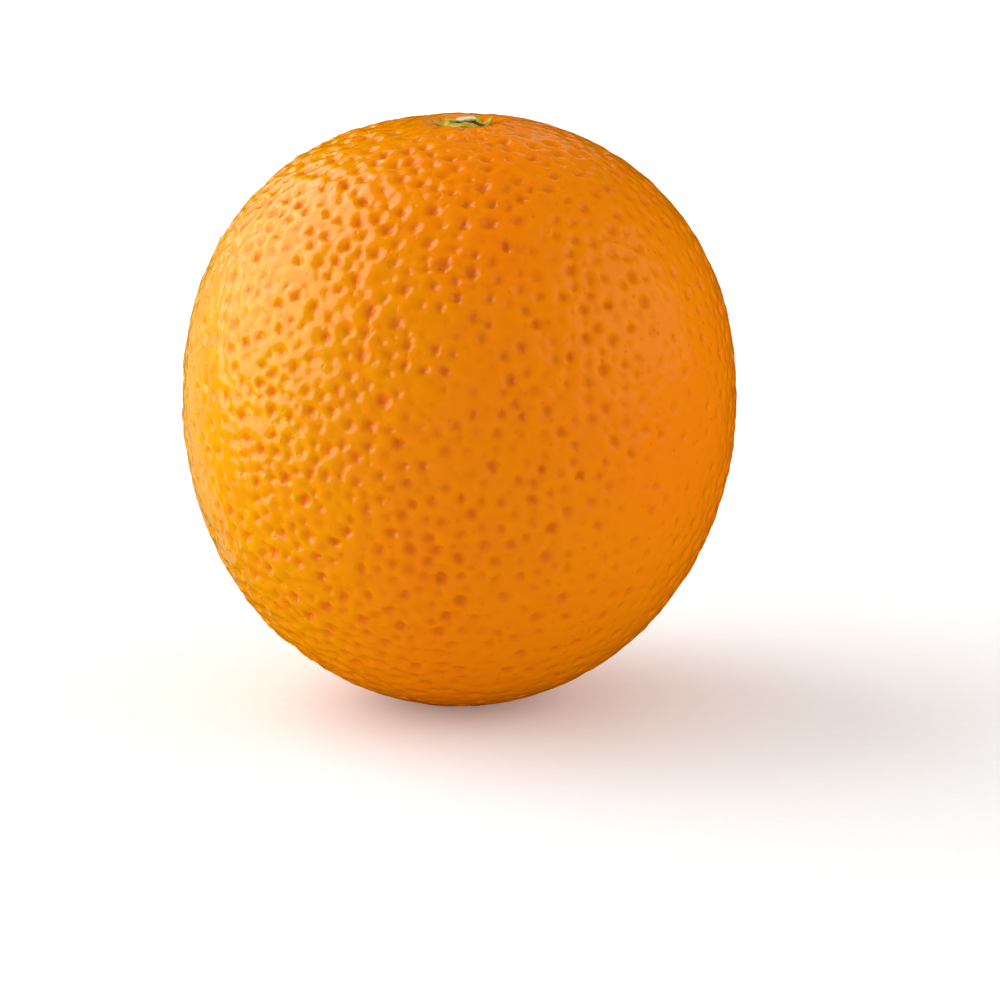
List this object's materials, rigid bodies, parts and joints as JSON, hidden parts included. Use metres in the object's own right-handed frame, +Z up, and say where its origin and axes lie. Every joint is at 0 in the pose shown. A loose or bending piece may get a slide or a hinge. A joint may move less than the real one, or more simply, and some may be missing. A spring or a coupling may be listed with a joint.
{
  "type": "orange",
  "caption": "Whole ripe orange with dimpled rind, slightly taller than wide, standing on a small flat spot with the green calyx and pale cut stalk in a shallow cavity on top.",
  "frame": {"origin": "middle of the footprint at the level of the small flat spot that the orange rests on", "axes": "+Z up along the core, from the blossom end to the stalk end; the picture's camera looks along +Y with +X to its right"},
  "size_m": [0.076, 0.0756, 0.081],
  "materials": {
    "rind": "waxy satin orange rind with sunken oil glands",
    "calyx": "dry matt yellow-green",
    "stem": "pale dry cut stalk"
  },
  "bodies": {
    "root": {"fruit": "rind", "calyx": "calyx", "stem_stub": "stem"}
  },
  "joints": []
}
